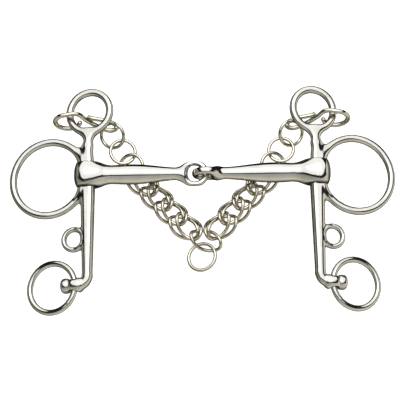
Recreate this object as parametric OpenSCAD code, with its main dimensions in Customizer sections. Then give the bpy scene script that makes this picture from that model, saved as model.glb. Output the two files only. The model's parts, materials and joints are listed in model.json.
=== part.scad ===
// Pelham curb bit with turning cheeks, a single-jointed mouthpiece and a
// double-link curb chain on two curb hooks. It lies flat: the mouthpiece runs
// along X, the eyes point to +Y and the surface it lies on is Z = 0.

/* [Mouthpiece] */
// Distance between the two cheek pins
pin_span = 135; // [132:0.5:138]
// Height of the mouthpiece axis above the surface
mouth_z = 15; // [14.8:0.1:15.2]
// Outside radius of the barrel that the cheek turns in
barrel_r = 7.4; // [7:0.1:7.8]
// Length of the barrel along the cheek
barrel_l = 14.8; // [14:0.1:15.2]
// Largest radius of a cannon
cannon_r = 6; // [5.4:0.1:6.2]
// Radius of a cannon where it meets its eye
cannon_tip_r = 3.6; // [3.2:0.1:3.8]
// Sideways place of the joint in the middle
fold_x = 2; // [1:0.5:3]
// Wire radius of the two middle eyes
mouth_eye_wire_r = 1.7; // [1.4:0.1:1.8]

/* [Cheeks] */
// Radius of the pin inside the barrel
pin_r = 3; // [2.8:0.1:3.2]
// Radial running clearance of the pin in its bore
pin_play = 0.05; // [0.02:0.01:0.09]
// Mean radius of the headstall eye
eye_r = 12.5; // [12.2:0.1:12.7]
// Wire radius of the headstall eye
eye_wire_r = 2.2; // [2:0.05:2.3]
// Mean radius of the snaffle ring
snaffle_r = 22.6; // [22.2:0.1:23]
// Wire radius of the snaffle ring
snaffle_wire_r = 2.2; // [2:0.05:2.3]
// Distance from the mouthpiece axis down to the rein ring's knob
shank_drop = 66.4; // [66:0.1:70]
// Hole radius of the lip strap loop
loop_hole_r = 4.7; // [4.3:0.1:4.8]

/* [Rein rings] */
// Mean radius of a rein ring
rein_r = 14.6; // [14.2:0.1:14.8]
// Wire radius of a rein ring
rein_wire_r = 1.8; // [1.6:0.05:1.9]
// Hole radius in the knob
knob_hole_r = 2.8; // [2.7:0.05:3]

/* [Curb chain] */
// Wire radius of the chain's rings
link_wire_r = 1; // [0.8:0.05:1.05]
// Mean radius of a single ring
single_r = 7.4; // [7.2:0.1:7.6]
// Mean radius of the fly ring
fly_r = 8.2; // [8:0.1:8.4]
// Distance from one double link to the next
pitch = 12.4; // [12.3:0.05:12.6]
// Wire radius of a curb hook
hook_wire_r = 1.4; // [1.2:0.05:1.45]

/* [Hidden] */
$fn = 48;

steel = [0.76, 0.76, 0.77];
nickel = [0.78, 0.75, 0.66];

// The origin is under the middle of the whole bit's box
eye_y = 39;
y_max = eye_y + eye_r + eye_wire_r;
y_min = -shank_drop - rein_r - rein_wire_r;
y_shift = -(y_max + y_min) / 2;
pin_x = pin_span / 2;

// Places a part in the bit's frame, where Y = 0 is the mouthpiece axis
module in_bit() {
  translate([0, y_shift, 0]) children();
}

// Side frame: X outward from the cheek's pin, Z up from the mouthpiece axis
module on_side(side) {
  in_bit() translate([side * pin_x, 0, mouth_z])
    mirror([side < 0 ? 1 : 0, 0, 0]) children();
}

// Mirrors a left-hand part when it is wanted on the right
module chain_side(side) {
  in_bit() mirror([side > 0 ? 1 : 0, 0, 0]) children();
}

module torus(mean_r, wire_r) {
  rotate_extrude($fn = 96) translate([mean_r, 0]) circle(wire_r, $fn = 32);
}

// --- Vector helpers and swept wires ---
function unit(v) = v / norm(v);
function across(v, t) = unit(v - (v * t) * t);

// Faces of a tube with m sides and n rings, either closed on itself or capped
function tube_faces(n, m, closed) = concat(
  [for (i = [0 : n - (closed ? 1 : 2)], j = [0 : m - 1])
    let (k = (i + 1) % n, l = (j + 1) % m)
      each [[i * m + j, k * m + j, k * m + l], [i * m + j, k * m + l, i * m + l]]],
  closed ? [] : [[for (j = [0 : m - 1]) j], [for (j = [m - 1 : -1 : 0]) (n - 1) * m + j]]
);

function tube_points(path, tangents, normals, wire_r, m) = [
  for (i = [0 : len(path) - 1], j = [0 : m - 1])
    let (a = -360 * j / m, side = cross(tangents[i], normals[i]))
      path[i] + wire_r * (cos(a) * normals[i] + sin(a) * side)
];

// Wire bent round a ring-like closed path about the origin
module closed_wire(path, wire_r, m) {
  n = len(path);
  tangents = [for (i = [0 : n - 1]) unit(path[(i + 1) % n] - path[(i + n - 1) % n])];
  normals = [for (i = [0 : n - 1]) across(path[i], tangents[i])];
  polyhedron(tube_points(path, tangents, normals, wire_r, m), tube_faces(n, m, true));
}

// Wire along an open path, its section carried along without twisting
module open_wire(path, wire_r, m) {
  n = len(path);
  tangents = [for (i = [0 : n - 1])
    unit(path[min(i + 1, n - 1)] - path[max(i - 1, 0)])];
  normals = [for (i = 0, v = across([0, 1, 0.3], tangents[0]); i < n;
    i = i + 1, v = i < n ? across(v, tangents[i]) : v) v];
  polyhedron(tube_points(path, tangents, normals, wire_r, m), tube_faces(n, m, false));
}

// Smooth curve through the points p, with steps points for each stretch
function spline(p, steps) = [
  for (i = [0 : len(p) - 2], s = [0 : steps - 1])
    let (
      t = s / steps, b = p[i], c = p[i + 1],
      a = i > 0 ? p[i - 1] : 2 * b - c,
      d = i + 2 < len(p) ? p[i + 2] : 2 * c - b
    )
      0.5 * (2 * b + (c - a) * t + (2 * a - 5 * b + 4 * c - d) * t * t
        + (3 * b - a - 3 * c + d) * t * t * t),
  p[len(p) - 1]
];

// --- Mouthpiece ---
barrel_bore_r = pin_r + pin_play;
cannon_peak_x = 42;
cannon_tip_x = 11;
cannon_root_x = pin_x - barrel_r * 0.6;
left_eye_r = 6.7;
right_eye_r = 6.4;

// Cannon radius at distance x from the middle: slim at the eye, fullest
// two thirds of the way out, a little slimmer again at the barrel
function cannon_radius(x) = x < cannon_peak_x
  ? cannon_tip_r + (cannon_r - cannon_tip_r)
    * (1 - cos(180 * (x - cannon_tip_x) / (cannon_peak_x - cannon_tip_x))) / 2
  : cannon_r - 0.9 * (1 - cos(180 * (x - cannon_peak_x) / 22)) / 2;

module cannon_bar() {
  steps = 22;
  step = (cannon_root_x - cannon_tip_x) / steps;
  rotate([0, 90, 0]) rotate_extrude()
    polygon(concat(
      [[0, cannon_tip_x - 1.2], [cannon_tip_r * 0.55, cannon_tip_x - 1.2]],
      [for (i = [0 : steps]) [cannon_radius(cannon_tip_x + i * step), cannon_tip_x + i * step]],
      [[0, cannon_root_x]]
    ));
}

// Barrel with its bore, and the bar from it to the middle
module cannon(side) {
  in_bit() translate([0, 0, mouth_z]) difference() {
    union() {
      mirror([side < 0 ? 1 : 0, 0, 0]) cannon_bar();
      translate([side * pin_x, barrel_l / 2, 0]) rotate([90, 0, 0])
        cylinder(r = barrel_r, h = barrel_l, $fn = 64);
    }
    translate([side * pin_x, barrel_l, 0]) rotate([90, 0, 0])
      cylinder(r = barrel_bore_r, h = 2 * barrel_l, $fn = 64);
  }
}

module left_cannon() {
  color(steel) {
    cannon(-1);
    in_bit() translate([fold_x - left_eye_r, 0, mouth_z])
      torus(left_eye_r, mouth_eye_wire_r);
  }
}

module right_cannon() {
  color(steel) {
    cannon(1);
    in_bit() translate([fold_x, 0, mouth_z]) rotate([90, 0, 0])
      torus(right_eye_r, mouth_eye_wire_r);
  }
}

// --- Cheeks, drawn flat in their own frame with the pin along Y ---
shoulder_y = barrel_l / 2 + 0.15;
shoulder_r = 3.6;
neck_r = 2.75;
shank_top_r = 4.1;
shank_foot_r = 3.3;
eye_x = -1;
ring_x = snaffle_r + 1.8;
bend_r = 5.2;
// Each cheek tilts down until its snaffle ring rests on the surface
droop = asin((mouth_z - snaffle_wire_r) / (ring_x + snaffle_r));
knob_x = 7.9;
knob_r = 4.4;
knob_l = 14.2;
knob_round_r = 7.6;
loop_x = 8.4;
loop_y = -38.9;

// Straight round bar from y = a to y = b, tapering from radius ra to rb
module bar_y(a, b, ra, rb) {
  translate([0, a, 0]) rotate([a < b ? -90 : 90, 0, 0])
    cylinder(h = abs(b - a), r1 = ra, r2 = rb);
}

module headstall_eye() {
  translate([eye_x, eye_y, 0]) torus(eye_r, eye_wire_r);
  bar_y(shoulder_y, 18, shoulder_r, neck_r);
  translate([0, 18, 0]) rotate([0, 0, 2.5]) bar_y(0, eye_y - eye_r - 18, neck_r, neck_r);
}

// Snaffle ring, cut away where it would pass through the barrel
module snaffle_ring() {
  difference() {
    translate([ring_x, 0, 0]) torus(snaffle_r, snaffle_wire_r);
    bar_y(-shoulder_y, shoulder_y, barrel_r + 1, barrel_r + 1);
  }
}

module lip_strap_loop() {
  translate([loop_x, loop_y, 0]) difference() {
    cylinder(r = loop_hole_r + 2.2, h = 4, center = true, $fn = 64);
    cylinder(r = loop_hole_r, h = 10, center = true, $fn = 64);
  }
}

// Lower shank, its outward bend and the knob that holds the rein ring
module lower_shank() {
  bend_y = -shank_drop + bend_r;
  bar_y(-shoulder_y, bend_y, shank_top_r, shank_foot_r);
  translate([bend_r, bend_y, 0]) rotate([0, 0, 180])
    rotate_extrude(angle = 90) translate([bend_r, 0]) circle(shank_foot_r);
  translate([knob_x + 0.9, -shank_drop, 0]) rotate([0, 90, 0]) intersection() {
    cylinder(r = knob_r, h = knob_l, center = true);
    sphere(r = knob_round_r);
  }
}

module cheek(side) {
  color(steel) on_side(side) rotate([0, droop, 0]) difference() {
    union() {
      headstall_eye();
      snaffle_ring();
      lip_strap_loop();
      lower_shank();
      bar_y(-shoulder_y, shoulder_y, pin_r, pin_r);
    }
    translate([knob_x, -shank_drop, 0]) rotate([90, 0, 0])
      cylinder(r = knob_hole_r, h = 3 * knob_r, center = true);
  }
}

// --- Rein rings, hanging a little further down than their cheeks ---
rein_hinge_x = knob_x - 0.3;
rein_hinge_z = mouth_z - rein_hinge_x * sin(droop);
rein_hang = asin((rein_hinge_z - rein_wire_r) / (2 * rein_r)) - droop;

module rein_ring(side) {
  color(steel) on_side(side) rotate([0, droop, 0]) translate([rein_hinge_x, -shank_drop, 0])
    rotate([0, rein_hang, 0]) translate([rein_r, 0, 0]) torus(rein_r, rein_wire_r);
}

// --- Curb hooks, in the side frame: a closed eye round the headstall eye,
// then a shank through it that ends in a flat open hook ---
hook_eye = [12.4, 34.3, -2.45];
hook_eye_w = 7.4;
hook_eye_h = 6;
hook_eye_rise = [0, 0.39, 0.92];
hook_route = [
  [8.5, 37.5, 2.6], [5, 37.2, 1.2], [1.8, 35.2, -1.2], [-2.5, 33.2, -3.6],
  [-6, 31.8, -5.2], [-10, 30.4, -6.5], [-13.4, 30.1, -7.4], [-16, 31.4, -8.4],
  [-16.4, 33.7, -9.4], [-14, 35.9, -10.3], [-10, 37.6, -10.6], [-5, 38.4, -10.2],
  [-1, 39, -9.7], [1, 39.8, -9]
];
hook_path = concat(
  [for (a = [-182 : 16 : 74]) hook_eye + hook_eye_w * cos(a) * [1, 0, 0]
    + hook_eye_h * sin(a) * hook_eye_rise],
  spline(concat([hook_eye + hook_eye_h * hook_eye_rise], hook_route), 3)
);

module curb_hook(side) {
  color(nickel) on_side(side) open_wire(hook_path, hook_wire_r, 10);
}

// --- Curb chain, lying on the surface ---
// A chain ring is an egg-shaped loop of wire with a twist
link_a = 9.15;
link_b = 6.1;
link_egg = 2.2;
link_path = [for (i = [0 : 35]) let (a = i * 10, w = 43 * cos(a) + 3 + cos(2 * a))
  [link_a * cos(a), link_b * sin(a) * cos(w) + link_egg * cos(a), link_b * sin(a) * sin(w)]];

// The two rings of a double link lie side by side, one turned against the other
link_gap = [1.5, 2.7, 0.2];
link_a_turn = [0, 7, -5];
link_b_turn = [-10, -8, -25];

// Double links follow each other in a straight line from the fourth to the seventh
chain_z = 4.4;
chain_yaw = -47.1;
last_link = [-9.9, -29.4];
chain_along = [cos(chain_yaw), sin(chain_yaw)];

module double_link(side, number, ring) {
  at = last_link - (7 - number) * pitch * chain_along;
  color(nickel) chain_side(side) translate([at[0], at[1], chain_z])
    rotate([0, 0, chain_yaw]) translate((ring == "a" ? -0.5 : 0.5) * link_gap)
      rotate(ring == "a" ? link_a_turn : link_b_turn)
        closed_wire(link_path, link_wire_r, 8);
}

// The three single rings next to each hook: centre and turn of each
single_at = [[-53.5, 27.5, 5.7], [-47.3, 17.5, 4.7], [-42.3, 8, 4.5]];
single_turn = [[35.5, 4, chain_yaw], [-8, 3.5, chain_yaw], [22, -6.5, chain_yaw]];

module single_ring(side, number) {
  color(nickel) chain_side(side) translate(single_at[number - 1])
    rotate(single_turn[number - 1]) torus(single_r, link_wire_r);
}

// Middle of the chain, with the loose ring that a lip strap goes through
module centre_ring() {
  color(nickel) in_bit() translate([1.5, -37.65, 3.9]) rotate([-4, -2, 136])
    closed_wire(link_path, link_wire_r, 8);
}

module fly_ring() {
  color(nickel) in_bit() translate([-0.9, -47.9, 3.7]) rotate([-5, -18, 0])
    torus(fly_r, link_wire_r);
}

left_cannon();
right_cannon();
cheek(-1);  // left_cheek
cheek(1);  // right_cheek
rein_ring(-1);  // left_rein_ring
rein_ring(1);  // right_rein_ring
curb_hook(-1);  // left_curb_hook
curb_hook(1);  // right_curb_hook
single_ring(-1, 1);  // left_ring_1
single_ring(-1, 2);  // left_ring_2
single_ring(-1, 3);  // left_ring_3
double_link(-1, 4, "a");  // left_link_4a
double_link(-1, 4, "b");  // left_link_4b
double_link(-1, 5, "a");  // left_link_5a
double_link(-1, 5, "b");  // left_link_5b
double_link(-1, 6, "a");  // left_link_6a
double_link(-1, 6, "b");  // left_link_6b
double_link(-1, 7, "a");  // left_link_7a
double_link(-1, 7, "b");  // left_link_7b
single_ring(1, 1);  // right_ring_1
single_ring(1, 2);  // right_ring_2
single_ring(1, 3);  // right_ring_3
double_link(1, 4, "a");  // right_link_4a
double_link(1, 4, "b");  // right_link_4b
double_link(1, 5, "a");  // right_link_5a
double_link(1, 5, "b");  // right_link_5b
double_link(1, 6, "a");  // right_link_6a
double_link(1, 6, "b");  // right_link_6b
double_link(1, 7, "a");  // right_link_7a
double_link(1, 7, "b");  // right_link_7b
centre_ring();
fly_ring();
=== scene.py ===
"""Looks for the Pelham curb bit: polished steel cheeks and mouthpiece, and a nickel curb chain.

Lengths are in millimetres of the row frame, and become metres when a mesh is made.
"""

import json
import math

import bpy
import numpy as np
from mathutils import Euler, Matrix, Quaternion, Vector


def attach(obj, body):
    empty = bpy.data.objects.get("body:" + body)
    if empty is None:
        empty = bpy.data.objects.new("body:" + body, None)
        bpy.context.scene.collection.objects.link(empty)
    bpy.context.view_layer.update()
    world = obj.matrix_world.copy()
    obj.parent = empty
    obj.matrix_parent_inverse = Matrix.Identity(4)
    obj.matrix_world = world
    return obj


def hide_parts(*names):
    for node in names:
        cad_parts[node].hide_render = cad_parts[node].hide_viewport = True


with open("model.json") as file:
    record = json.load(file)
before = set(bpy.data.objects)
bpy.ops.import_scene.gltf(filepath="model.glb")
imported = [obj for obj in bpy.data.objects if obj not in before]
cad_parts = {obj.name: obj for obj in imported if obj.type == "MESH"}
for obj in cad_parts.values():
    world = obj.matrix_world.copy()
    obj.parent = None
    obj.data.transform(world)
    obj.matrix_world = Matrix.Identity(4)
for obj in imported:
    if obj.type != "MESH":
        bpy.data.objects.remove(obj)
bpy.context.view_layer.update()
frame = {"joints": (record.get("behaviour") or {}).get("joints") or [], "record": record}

MM = 0.001
SIDES = {"left": -1, "right": 1}
JOINTS = {j["name"]: j for j in frame["joints"]}
MOUNTS = {m["name"]: m for m in frame["record"]["mounts"]}


def joint_at(name):
    """A joint's place at rest."""
    return np.array(JOINTS[name]["pos_m"]) / MM


# Where the mouthpiece folds, and the point of the surface under it from which the chain is laid out
FOLD_AT = joint_at("mouth_fold")
CHAIN_ORIGIN = np.array([0, FOLD_AT[1], 0])
PIN_X = abs(joint_at("left_cheek_swivel")[0])


def frame_of(mount, side):
    """Axes of a ring's own frame: outward, along the cheek towards the eye, and up through the ring."""
    up = np.array(MOUNTS[mount]["axis"])
    along = np.array([0.0, 1.0, 0.0])
    return np.array([side * np.cross(along, up), along, up])


# --- Distance functions over arrays of points: below 0 inside, 0 on the surface ---


def smooth_min(a, b, k):
    """Union of two shapes with a fillet about k wide."""
    h = np.maximum(k - np.abs(a - b), 0) / k
    return np.minimum(a, b) - h * h * k / 4


def smooth_max(a, b, k):
    """Intersection of two shapes with a rounded edge about k wide."""
    return -smooth_min(-a, -b, k)


def oval(u, v, power):
    """Superellipse, from two distances as shares of its half sizes: -1 at its middle."""
    return (u**power + v**power) ** (1 / power) - 1


def ring(p, centre, mean_r, half_w, half_t, axis, power):
    """Ring about an axis, with a squared-off oval section half_w wide in its plane and half_t thick."""
    q = p - np.array(centre)
    a, b = [i for i in range(3) if i != axis]
    radial = np.abs(np.hypot(q[..., a], q[..., b]) - mean_r) / half_w
    rise = np.abs(q[..., axis]) / half_t
    return oval(radial, rise, power) * min(half_w, half_t)


def flat_ring(p, centre, mean_r, half):
    """Outline in the XY plane of a ring that is twice half wide."""
    return np.abs(np.hypot(p[..., 0] - centre[0], p[..., 1] - centre[1]) - mean_r) - half


def bar(p, start, end, start_r, end_r):
    """Round-ended tapering bar."""
    a, b = np.array(start, float), np.array(end, float)
    t = np.clip(((p - a) @ (b - a)) / ((b - a) @ (b - a)), 0, 1)
    near = a + t[..., None] * (b - a)
    return np.linalg.norm(p - near, axis=-1) - (start_r + t * (end_r - start_r))


def arc(p, centre, mean_r, start, end, radius):
    """Part of a round ring in the XY plane between two angles in radians."""
    q = p - np.array(centre)
    angle = np.mod(np.arctan2(q[..., 1], q[..., 0]), 2 * math.pi)
    angle = start + np.clip((angle - start) / (end - start), 0, 1) * (end - start)
    near = np.stack([mean_r * np.cos(angle), mean_r * np.sin(angle), 0 * angle], -1)
    return np.linalg.norm(q - near, axis=-1) - radius


# --- Meshes ---


def unit(v):
    return v / np.linalg.norm(v, axis=-1, keepdims=True)


def new_object(name, points, faces):
    """Smooth-shaded mesh object."""
    mesh = bpy.data.meshes.new(name)
    mesh.from_pydata((points * MM).tolist(), [], faces)
    mesh.polygons.foreach_set("use_smooth", [True] * len(mesh.polygons))
    obj = bpy.data.objects.new(name, mesh)
    bpy.context.scene.collection.objects.link(obj)
    return obj


def forging(name, surface, origin, axes):
    """Object of a surface from skin, turned and moved from its own frame into place."""
    points, faces, normals = surface
    points, normals = origin + points @ axes, normals @ axes
    a, b, c, d = (points[faces[:, i]] for i in range(4))
    volume = np.cross(b - a, c - a) * a + np.cross(c - a, d - a) * a
    if volume.sum() < 0:
        faces = faces[:, ::-1]
    obj = new_object(name, points, faces.tolist())
    obj.data.normals_split_custom_set_from_vertices(unit(normals).tolist())
    return obj


def gradient(shape, p, step=0.02):
    """Direction in which the distance grows, times how fast."""
    parts = []
    for axis in range(3):
        move = np.zeros(3)
        move[axis] = step
        parts.append((shape(p + move) - shape(p - move)) / (2 * step))
    return np.stack(parts, -1)


def cells_round(where, others, u, v):
    """Grid cell u and v steps back from each cut edge, in the two directions across it."""
    cells = where.copy()
    cells[:, others[0]] -= u
    cells[:, others[1]] -= v
    return cells


def skin(shape, low, high, cell):
    """Points, quads and normals of the closed surface where shape is 0.

    It has one point in each grid cell that the surface crosses.
    """
    axes = [np.arange(a, b + cell, cell) for a, b in zip(low, high)]
    grid = np.stack(np.meshgrid(*axes, indexing="ij"), -1)
    field = np.concatenate([shape(slab)[None] for slab in grid])
    inside = field < 0
    count = np.zeros([n - 1 for n in field.shape])
    total = np.zeros([*count.shape, 3])
    cut_edges = []
    for axis in range(3):
        first, second = [slice(None)] * 3, [slice(None)] * 3
        first[axis], second[axis] = slice(None, -1), slice(1, None)
        first, second = tuple(first), tuple(second)
        crossing = inside[first] != inside[second]
        where = np.argwhere(crossing)
        at = np.array(where, float)
        at[:, axis] += (field[first] / np.where(crossing, field[first] - field[second], 1))[crossing]
        others = [i for i in range(3) if i != axis]
        cut_edges.append((axis, others, where, inside[first][crossing]))
        for u in (0, 1):
            for v in (0, 1):
                cells = tuple(cells_round(where, others, u, v).T)
                np.add.at(count, cells, 1)
                np.add.at(total, cells, at)
    used = count > 0
    index = np.full(count.shape, -1)
    index[used] = np.arange(used.sum())
    points = total[used] / count[used][:, None] * cell + np.array(low)
    faces = []
    for axis, others, where, starts_inside in cut_edges:
        corners = [cells_round(where, others, u, v) for u, v in ((0, 0), (1, 0), (1, 1), (0, 1))]
        quads = np.stack([index[tuple(cells.T)] for cells in corners], -1)
        flip = starts_inside if axis == 1 else ~starts_inside
        quads[flip] = quads[flip][:, ::-1]
        faces.append(quads)
    # Newton steps draw each point onto the surface, and least_slope keeps them short at creases
    newton_steps, least_slope = 4, 0.05
    for _ in range(newton_steps):
        slope = gradient(shape, points)
        size = np.maximum((slope**2).sum(-1), least_slope)
        move = -(shape(points) / size)[:, None] * slope
        points = points + np.clip(move, -cell, cell)
    return points, np.concatenate(faces), gradient(shape, points)


def wire(name, path, radius, closed, sides):
    """Round wire along a path; radius has one number for each point of the path."""
    n = len(path)
    if closed:
        tangent = unit(np.roll(path, -1, 0) - np.roll(path, 1, 0))
        normal = path - path.mean(0)
        normal = unit(normal - (normal * tangent).sum(-1, keepdims=True) * tangent)
    else:
        tangent = unit(np.gradient(path, axis=0))
        normal = np.zeros_like(path)
        carried = np.array([0.1, 1.0, 0.3])
        for i in range(n):
            carried = unit(carried - (carried @ tangent[i]) * tangent[i])
            normal[i] = carried
    side = np.cross(tangent, normal)
    angle = 2 * math.pi * np.arange(sides) / sides
    section = np.cos(angle)[:, None, None] * normal + np.sin(angle)[:, None, None] * side
    points = (path + radius[:, None] * section).transpose(1, 0, 2).reshape(-1, 3)
    i, j = np.meshgrid(np.arange(n if closed else n - 1), np.arange(sides), indexing="ij")
    i, j = i.ravel(), j.ravel()
    k, m = (i + 1) % n, (j + 1) % sides
    faces = np.stack([i * sides + j, i * sides + m, k * sides + m, k * sides + j], -1).tolist()
    if not closed:
        faces.append(list(range(sides - 1, -1, -1)))
        faces.append([(n - 1) * sides + s for s in range(sides)])
    return new_object(name, points, faces)


def turned(points, turn):
    """Points turned about X, then Y, then Z, in degrees."""
    matrix = Euler([math.radians(t) for t in turn], "XYZ").to_matrix()
    return points @ np.array(matrix).T


def circle(radius, count):
    angle = 2 * math.pi * np.arange(count) / count
    return np.stack([radius * np.cos(angle), radius * np.sin(angle), 0 * angle], -1)


def welded(path, radius, seam):
    """Radius along a closed wire, with a bead and a fine seam where its ends are welded.

    seam is the weld's place, as a share of the wire's length.
    """
    bead_rise, bead_half = 0.06, 0.55
    seam_depth, seam_half = 0.05, 0.12
    step = np.linalg.norm(np.roll(path, -1, 0) - path, axis=-1)
    total = step.sum()
    away = np.abs(np.concatenate([[0], np.cumsum(step)[:-1]]) - seam * total)
    away = np.minimum(away, total - away)
    bead = bead_rise * np.exp(-((away / bead_half) ** 2))
    return radius * (1 + bead - seam_depth * np.exp(-((away / seam_half) ** 2)))


def spline(points, steps):
    """Smooth curve through the points, with steps points for each stretch."""
    p = [2 * points[0] - points[1], *points, 2 * points[-1] - points[-2]]
    out = []
    for i in range(1, len(p) - 2):
        a, b, c, d = p[i - 1 : i + 3]
        for t in np.arange(steps) / steps:
            out.append(
                0.5 * (2 * b + (c - a) * t + (2 * a - 5 * b + 4 * c - d) * t**2)
                + 0.5 * (3 * b - a - 3 * c + d) * t**3
            )
    return np.array([*out, points[-1]])


# --- Materials ---


def feed(tree, socket, value):
    """Gives a socket a number, a colour or another node's output."""
    if isinstance(value, (int, float)):
        socket.default_value = value
    elif isinstance(value, tuple):
        socket.default_value = (*value, 1)
    else:
        tree.links.new(value, socket)


def calculator(tree):
    """Function that adds a maths node to a node tree and gives its output."""

    def calc(kind, *values):
        node = tree.nodes.new("ShaderNodeMath")
        node.operation = kind
        for socket, value in zip(node.inputs, values):
            feed(tree, socket, value)
        return node.outputs[0]

    return calc


def mixed(tree, share, a, b):
    """Colour from a to b by share."""
    node = tree.nodes.new("ShaderNodeMix")
    node.data_type = "RGBA"
    feed(tree, node.inputs[0], share)
    for socket, value in zip([s for s in node.inputs if s.type == "RGBA"], (a, b)):
        feed(tree, socket, value)
    return next(s for s in node.outputs if s.type == "RGBA")


def metal(name, light, dark, rough, grain):
    """Polished metal: tone clouds, painted shade that darkens the hollows, hairline polishing marks and a
    faint waviness.
    """
    material = bpy.data.materials.new(name)
    material.use_nodes = True
    tree = material.node_tree
    nodes, links = tree.nodes, tree.links
    calc = calculator(tree)
    shader = nodes["Principled BSDF"]
    shader.inputs["Metallic"].default_value = 1.0
    shader.inputs["Specular Tint"].default_value = (0.25, 0.25, 0.23, 1)
    place = nodes.new("ShaderNodeTexCoord").outputs["Object"]

    def noise(scale, detail, stretch=(1, 1, 1)):
        mapping = nodes.new("ShaderNodeMapping")
        mapping.inputs["Scale"].default_value = stretch
        links.new(place, mapping.inputs["Vector"])
        texture = nodes.new("ShaderNodeTexNoise")
        texture.inputs["Scale"].default_value = scale
        texture.inputs["Detail"].default_value = detail
        links.new(mapping.outputs["Vector"], texture.inputs["Vector"])
        return texture.outputs["Fac"]

    def spread(value, low, high, to_low, to_high):
        node = nodes.new("ShaderNodeMapRange")
        links.new(value, node.inputs["Value"])
        keys = ("From Min", "From Max", "To Min", "To Max")
        for key, number in zip(keys, (low, high, to_low, to_high)):
            node.inputs[key].default_value = number
        return node.outputs["Result"]

    clouds = noise(110, 3)
    marks = noise(900, 2, (1, 0.12, 1))
    cross_marks = noise(1100, 2, (0.1, 1, 1))
    waves = noise(230, 1)
    # Painted shade: low pointiness marks the hollows, which are darkened towards the dark colour and made
    # rougher
    shaded_hollow = spread(nodes.new("ShaderNodeNewGeometry").outputs["Pointiness"], 0.40, 0.49, 1, 0)

    # Base colour: random tone clouds, and the painted shade in the hollows
    clouds_and_hollow_shade = calc("MAXIMUM", spread(clouds, 0.45, 0.75, 0, 0.55), shaded_hollow)
    links.new(mixed(tree, clouds_and_hollow_shade, light, dark), shader.inputs["Base Color"])

    hair = calc("MAXIMUM", spread(marks, 0.58, 0.75, 0, 1), spread(cross_marks, 0.6, 0.78, 0, 1))
    roughness = calc("ADD", spread(clouds, 0.3, 0.8, rough, rough * 1.9), calc("MULTIPLY", hair, rough * 1.2))
    roughness = calc("ADD", roughness, calc("MULTIPLY", shaded_hollow, 0.18))
    links.new(roughness, shader.inputs["Roughness"])

    bump = nodes.new("ShaderNodeBump")
    bump.inputs["Strength"].default_value = 0.35
    bump.inputs["Distance"].default_value = 0.06 * MM
    links.new(calc("ADD", waves, calc("MULTIPLY", hair, -grain)), bump.inputs["Height"])
    links.new(bump.outputs["Normal"], shader.inputs["Normal"])
    return material


METALS = {
    "polished_steel": metal("polished_steel", (0.67, 0.66, 0.62), (0.50, 0.495, 0.45), 0.07, 0.25),
    "nickel_wire": metal("nickel_wire", (0.68, 0.64, 0.53), (0.46, 0.42, 0.31), 0.09, 0.3),
}


def stand_for(obj, node, body, slot):
    """obj replaces a CAD node, rides on its body and takes its slot's metal."""
    obj.data.materials.append(METALS[slot])
    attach(obj, body)
    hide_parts(node)


# --- Cheeks, each in its own frame: X outward, Y towards the eye, Z up out of it, 0 on the pin ---
# A flat ring's numbers are its centre, mean radius and half width
EYE = ((-1, 39), 12.5, 2.19)
SNAFFLE = ((24.4, 0), 22.6, 2.15)
LOOP = ((8.4, -38.9), 6.15, 1.5)
PIN_R = 2.95
PIN_HALF = 8.4
SHOULDER = 7.55
BARREL_ROOM_R = 9.6
NECK_TOP = 18.0
NECK_END = 25.6
SHANK_END = -61.2
SHANK_END_R = 3.0
BEND_R = 5.2
KNOB_AT = np.array([7.0, -66.4, 0])
KNOB_HOLE_X = 7.9
KNOB_HOLE_R = 2.8


def knob(p):
    """End of the shank, a bead, a groove and a button, and the rein ring's hole through it along Y."""
    q = p - KNOB_AT
    across = np.hypot(q[..., 1], q[..., 2])
    bead = oval(np.abs(q[..., 0]) / 4.4, across / 4.5, 3.4) * 4.3
    button = oval(np.abs(q[..., 0] - 5.9) / 3.0, across / 4.45, 3) * 2.9
    hole = np.hypot(p[..., 0] - KNOB_HOLE_X, p[..., 2]) - KNOB_HOLE_R
    return smooth_min(bead, button, 0.7), np.maximum(hole, np.abs(q[..., 1]) - 8)


def outline_and_depth(p):
    """Distance to the outline of the cheek in its plane, and half its thickness there."""
    flat = p * [1, 1, 0]
    x, y = p[..., 0], p[..., 1]
    eye, snaffle, loop = (flat_ring(p, *numbers) for numbers in (EYE, SNAFFLE, LOOP))
    neck = smooth_min(
        bar(flat, (0, 4, 0), (0, NECK_TOP, 0), 3.7, 2.8),
        bar(flat, (0, NECK_TOP, 0), (-0.4, NECK_END, 0), 2.75, 2.4),
        2,
    )
    shank = bar(flat, (0, -4, 0), (0, SHANK_END, 0), 4.4, SHANK_END_R)
    bend = arc(flat, (BEND_R, SHANK_END, 0), BEND_R, math.pi, 1.5 * math.pi, SHANK_END_R)
    # The snaffle ring joins neck and shank with a fillet each, and its outer side is plain
    upper = smooth_min(eye, neck, 5.5)
    upper = smooth_min(upper, np.maximum(snaffle, -y + 1), 6.5)
    lower = smooth_min(shank, np.maximum(snaffle, y + 1), 4.5)
    lower = smooth_min(lower, loop, 2.2)
    lower = smooth_min(lower, bend, 0.8)
    outline = np.minimum(np.minimum(upper, lower), np.maximum(snaffle, 12 - x))
    # Half the thickness goes from the stem's to the rings' over a short way
    stem = np.minimum(neck, np.minimum(shank, bend))
    stem_t = np.interp(y, [SHANK_END, -SHOULDER, SHOULDER, NECK_TOP, NECK_END], [3.0, 3.4, 3.1, 2.6, 2.3])
    near = np.clip(1 - (stem + 0.3 * stem_t) / 5.5, 0, 1)
    near = near * near * (3 - 2 * near)
    ring_t = np.where(y < -30, 1.9, 2.16)
    return outline, ring_t + (stem_t - ring_t) * near


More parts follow.
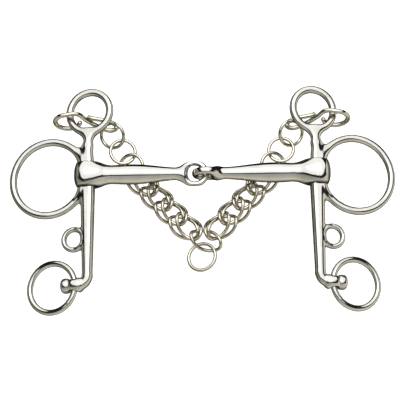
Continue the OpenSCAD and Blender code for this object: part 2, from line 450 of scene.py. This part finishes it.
def cheek_shape(p):
    outline, depth = outline_and_depth(p)
    body = oval(np.maximum(outline / depth + 1, 0), np.abs(p[..., 2]) / depth, 2.3) * depth
    knob_solid, hole = knob(p)
    body = smooth_min(body, knob_solid, 1.4)
    body = smooth_max(body, -hole, 0.7)
    from_pin = np.hypot(p[..., 0], p[..., 2])
    room = np.maximum(np.abs(p[..., 1]) - SHOULDER, from_pin - BARREL_ROOM_R)
    body = smooth_max(body, -room, 0.5)
    return np.minimum(body, np.maximum(from_pin - PIN_R, np.abs(p[..., 1]) - PIN_HALF))


# --- Cannons, each in its own frame: X outward from the fold's middle, 0 on its axis ---
TIP_X = 11.0
PEAK_X = 42.0
BORE_R = 3.2
BARREL_HALF = 7.4


def cannon_radius(x):
    """Thin at the eye, thickest at PEAK_X and a little thinner at the barrel."""
    inner = 3.6 + 2.4 * (1 - np.cos(math.pi * np.clip((x - TIP_X) / (PEAK_X - TIP_X), 0, 1))) / 2
    outer = 6.0 - 0.9 * (1 - np.cos(math.pi * np.clip((x - PEAK_X) / 22, 0, 1))) / 2
    return np.where(x < PEAK_X, inner, outer)


def cannon_shape(eye, start):
    """Cannon with the given eye; its rod starts at X start."""

    def shape(p):
        x, y, z = p[..., 0], p[..., 1], p[..., 2]
        inside = np.clip((x - PIN_X + 9) / 9, 0, 1)
        rod = np.hypot(y, z) - cannon_radius(x) + 3.2 * inside**2
        rod = smooth_max(rod, start - x, 3.2)
        rod = np.maximum(rod, x - PIN_X)
        rod_and_eye = smooth_min(rod, ring(p, *eye), 4.4)
        waist = 7.3 - 1.7 * (np.abs(y) / BARREL_HALF) ** 2.4
        barrel = np.hypot(x - PIN_X - 0.7, z) - waist
        barrel = smooth_max(barrel, np.abs(y) - BARREL_HALF, 1.1)
        body = smooth_min(rod_and_eye, barrel, 10)
        body = smooth_max(body, np.abs(y) - BARREL_HALF, 0.8)
        return np.maximum(body, BORE_R - np.hypot(x - PIN_X, z))

    return shape


# Each eye's centre, mean radius, half width, half thickness, axis and section, then the rod's start
CANNONS = {
    "left": (((4.7, 0, 0), 6.7, 1.7, 1.7, 2, 2.3), 9.8),
    "right": (((2.0, 0, 0), 6.4, 1.69, 2.15, 1, 2.3), 7.0),
}
CELL = 0.45

cheek_surface = skin(cheek_shape, (-17.4, -73, -6), (51, 56, 6), CELL)
for word, side in SIDES.items():
    axes = frame_of(word + "_lip_strap_loop", side)
    piece = forging(word + "_cheek_forging", cheek_surface, joint_at(word + "_cheek_swivel"), axes)
    stand_for(piece, word + "_cheek", word + "_cheek", "polished_steel")

for word, side in SIDES.items():
    surface = skin(cannon_shape(*CANNONS[word]), (-8, -11, -11), (79, 11, 11), CELL)
    origin = np.array([0, FOLD_AT[1], FOLD_AT[2]])
    piece = forging(word + "_cannon_forging", surface, origin, np.diag([side, 1.0, 1.0]))
    stand_for(piece, word + "_cannon", word + "_cannon", "polished_steel")

# --- Rein rings ---
REIN_R = 14.6
REIN_WIRE_R = 1.8
for word, side in SIDES.items():
    mount = word + "_rein_ring"
    path = circle(REIN_R, 144) @ frame_of(mount, side)
    path += np.array(MOUNTS[mount]["pos_m"]) / MM
    piece = wire(mount + "_wire", path, welded(path, REIN_WIRE_R, 0.62), True, 28)
    stand_for(piece, mount, mount, "polished_steel")

# --- Curb hooks, measured from the cheek's pin with X outward ---
HOOK_WIRE_R = 1.4
HOOK_TAPER = (0.75, 1.15, 1.33)
HOOK_TIP = (1.33, 1.15, 0.7)
HOOK_EYE = np.array([12.4, 34.3, -2.45])
HOOK_EYE_HALF = (7.4, 6)
HOOK_RISE = np.array([0, 0.39, 0.92])
HOOK_ROUTE = [
    [8.5, 37.5, 2.6], [5, 37.2, 1.2], [1.8, 35.2, -1.2], [-2.5, 33.2, -3.6],
    [-6, 31.8, -5.2], [-10, 30.4, -6.5], [-13.4, 30.1, -7.4], [-16, 31.4, -8.4],
    [-16.4, 33.7, -9.4], [-14, 35.9, -10.3], [-10, 37.6, -10.6], [-5, 38.4, -10.2],
    [-1, 39, -9.7], [1, 39.8, -9],
]


def hook_wire_path():
    """From the cut end round the closed eye, through the headstall eye and round the open hook."""
    wide, tall = HOOK_EYE_HALF
    angle = np.radians(np.arange(-182, 76, 4))[:, None]
    eye = HOOK_EYE + wide * np.cos(angle) * [1, 0, 0] + tall * np.sin(angle) * HOOK_RISE
    rest = spline([HOOK_EYE + tall * HOOK_RISE, *[np.array(p, float) for p in HOOK_ROUTE]], 10)
    path = np.concatenate([eye, rest])
    for _ in range(4):
        path[1:-1] = 0.5 * path[1:-1] + 0.25 * (path[:-2] + path[2:])
    return path


hook_path = hook_wire_path()
hook_radius = np.full(len(hook_path), HOOK_WIRE_R)
hook_radius[:3] = HOOK_TAPER
hook_radius[-3:] = HOOK_TIP
for word, side in SIDES.items():
    path = joint_at(word + "_cheek_swivel") + hook_path * [side, 1, 1]
    piece = wire(word + "_curb_hook_wire", path, hook_radius, False, 20)
    stand_for(piece, word + "_curb_hook", word + "_curb_hook", "nickel_wire")

# --- Curb chain, laid out for the left half; turns are in degrees about X, Y and Z ---
CHAIN_WIRE_R = 1.0
CHAIN_YAW = -47.1
PITCH = 12.4
LAST_LINK = np.array([-9.9, -29.4, 4.4])
PAIR_GAP = np.array([1.5, 2.7, 0.2])
LINK_TURNS = {"a": (-0.5, (0, 7, -5)), "b": (0.5, (-10, -8, -25))}
LINK_SEAM = 0.25
SINGLES = {
    1: ([-53.5, 27.5, 5.7], [35.5, 4, CHAIN_YAW]),
    2: ([-47.3, 17.5, 4.7], [-8, 3.5, CHAIN_YAW]),
    3: ([-42.3, 8, 4.5], [22, -6.5, CHAIN_YAW]),
}


def twisted_ring():
    """Path of a link: an oval ring twisted so that its two ends stand at an angle."""
    a = np.radians(np.arange(0, 360, 3))
    twist = np.radians(43 * np.cos(a) + 3 + np.cos(2 * a))
    across = 6.1 * np.sin(a)
    return np.stack([9.15 * np.cos(a), across * np.cos(twist) + 2.2 * np.cos(a), across * np.sin(twist)], -1)


def chain_wire(node, body, path, seam, side=-1):
    """Welded wire ring of the chain, mirrored where side is 1."""
    path = path * [-side, 1, 1] + CHAIN_ORIGIN
    piece = wire(node + "_wire", path, welded(path, CHAIN_WIRE_R, seam), True, 18)
    stand_for(piece, node, body, "nickel_wire")


link_path = twisted_ring()
along_chain = np.array([math.cos(math.radians(CHAIN_YAW)), math.sin(math.radians(CHAIN_YAW)), 0])
for word, side in SIDES.items():
    for number, (centre, turn) in SINGLES.items():
        name = f"{word}_ring_{number}"
        chain_wire(name, name, turned(circle(7.4, 108), turn) + centre, 0.13 * number + 0.3, side)
    for number in (4, 5, 6, 7):
        centre = LAST_LINK - (7 - number) * PITCH * along_chain
        for letter, (half, turn) in LINK_TURNS.items():
            path = turned(link_path, turn) + half * PAIR_GAP
            path = turned(path, (0, 0, CHAIN_YAW)) + centre
            chain_wire(f"{word}_link_{number}{letter}", f"{word}_link_{number}", path, LINK_SEAM, side)

path = turned(link_path, (-4, -2, 136)) + [1.5, -37.65, 3.9]
chain_wire("centre_ring", "centre_ring", path, LINK_SEAM)
path = turned(circle(8.2, 120), (-5, -18, 0)) + [-0.9, -47.9, 3.7]
chain_wire("fly_ring", "fly_ring", path, 0.8)

# --- Floor, light and camera ---
# How far down from overhead the soft box reaches, in degrees, in front, at the sides and behind
SOFT_BOX_FRONT = 23
SOFT_BOX_SIDE = 47
SOFT_BOX_BACK = 110

# The paper lies this far under the bit, so that a half of the bit that swings down stays in sight
FLOOR_DROP = 31
FLOOR_HALF = 4000


def floor_plane():
    corners = np.array([(-1, -1), (1, -1), (1, 1), (-1, 1)]) * FLOOR_HALF
    points = np.column_stack([corners, np.full(4, -FLOOR_DROP)])
    obj = new_object("floor", points, [(0, 1, 2, 3)])
    material = bpy.data.materials.new("floor_paper")
    material.use_nodes = True
    shader = material.node_tree.nodes["Principled BSDF"]
    shader.inputs["Base Color"].default_value = (0.85, 0.85, 0.84, 1)
    shader.inputs["Roughness"].default_value = 0.9
    shader.inputs["Specular IOR Level"].default_value = 0.1
    shader.inputs["Emission Color"].default_value = (1, 1, 1, 1)
    shader.inputs["Emission Strength"].default_value = 0.6
    obj.data.materials.append(material)
    obj.visible_glossy = False


def studio_world():
    """A soft box overhead with a black edge, in a room with a bright wall behind.

    The room is grey to beige in front, beige to the right and dark to the left.
    """
    world = bpy.data.worlds.new("studio")
    bpy.context.scene.world = world
    world.use_nodes = True
    tree = world.node_tree
    nodes, links = tree.nodes, tree.links
    calc = calculator(tree)
    background = nodes["Background"]
    split = nodes.new("ShaderNodeSeparateXYZ")
    links.new(nodes.new("ShaderNodeTexCoord").outputs["Generated"], split.inputs[0])
    x, y, z = split.outputs

    def ramp(value, high, stops):
        """Colour for value from 0 to high; stops are (value, colour)."""
        node = nodes.new("ShaderNodeValToRGB")
        links.new(calc("DIVIDE", value, high), node.inputs["Fac"])
        elements = node.color_ramp.elements
        while len(elements) < len(stops):
            elements.new(0.5)
        for element, (at, colour) in zip(elements, stops):
            element.position = at / high
            element.color = (*colour, 1)
        return node.outputs["Color"]

    down = calc("DEGREES", calc("ARCCOSINE", z))
    level = calc("SQRT", calc("ADD", calc("MULTIPLY", x, x), calc("MULTIPLY", y, y)))
    right = calc("DIVIDE", x, calc("MAXIMUM", level, 0.0001))
    aside = calc("MULTIPLY", right, right)
    to_right = calc("GREATER_THAN", x, 0)
    to_back = calc("GREATER_THAN", y, 0)

    # share is 1 where the soft box ends in this direction
    reach = calc("ADD", calc("MULTIPLY", to_back, SOFT_BOX_BACK - SOFT_BOX_FRONT), SOFT_BOX_FRONT)
    reach = calc("MULTIPLY", calc("SUBTRACT", 1, aside), reach)
    reach = calc("ADD", reach, calc("MULTIPLY", aside, SOFT_BOX_SIDE))
    share = calc("DIVIDE", down, reach)

    white, black, edge_black = (1, 1, 1), (0, 0, 0), (0.01, 0.01, 0.01)
    beige, olive, dark = (0.60, 0.57, 0.48), (0.20, 0.20, 0.14), (0.03, 0.03, 0.025)
    front = ramp(down, 180, [
        (0, (0.30, 0.30, 0.31)), (30, (0.30, 0.30, 0.31)), (60, (0.36, 0.36, 0.36)),
        (80, (0.45, 0.43, 0.37)), (110, beige), (135, olive), (160, dark),
    ])
    left = ramp(down, 180, [
        (0, (0.1, 0.1, 0.1)), (60, (0.16, 0.16, 0.13)), (95, olive), (125, dark),
    ])
    right_side = ramp(down, 180, [(0, beige), (60, beige), (105, beige), (125, olive), (140, dark)])
    behind = ramp(down, 180, [(0, white), (108, white), (120, dark)])
    ends = mixed(tree, to_back, front, behind)
    room = mixed(tree, aside, ends, mixed(tree, to_right, left, right_side))
    box_and_edge = ramp(share, 2, [
        (0, white), (0.76, (0.92, 0.92, 0.92)), (0.8, edge_black), (2, edge_black),
    ])
    outside = ramp(share, 2, [(0, black), (1.25, black), (1.4, white)])
    links.new(mixed(tree, outside, box_and_edge, room), background.inputs["Color"])
    background.inputs["Strength"].default_value = 1.45


def soft_box():
    light = bpy.data.lights.new("soft_box", "AREA")
    light.shape = "RECTANGLE"
    light.size, light.size_y = 1.2, 0.8
    light.energy = 6
    obj = bpy.data.objects.new("soft_box", light)
    obj.location = (0, 0.6, 1.5)
    obj.rotation_euler = (-obj.location).to_track_quat("-Z", "Y").to_euler()
    bpy.context.scene.collection.objects.link(obj)


def camera():
    """Camera 1 m away, high in front of the bit."""
    elevation, roll = math.radians(73), math.radians(-0.8)
    data = bpy.data.cameras.new("camera")
    data.lens = 153.5
    data.sensor_width = 36
    data.clip_start = 0.05
    obj = bpy.data.objects.new("camera", data)
    target = Vector((-1.6, -1.8, 15)) * MM
    away = Vector((0, -math.cos(elevation), math.sin(elevation)))
    obj.location = target + away
    turn = Quaternion(away, roll) @ (-away).to_track_quat("-Z", "Y")
    obj.rotation_euler = turn.to_euler()
    bpy.context.scene.collection.objects.link(obj)
    bpy.context.scene.camera = obj


floor_plane()
studio_world()
soft_box()
camera()
bpy.context.scene.view_settings.view_transform = "Standard"
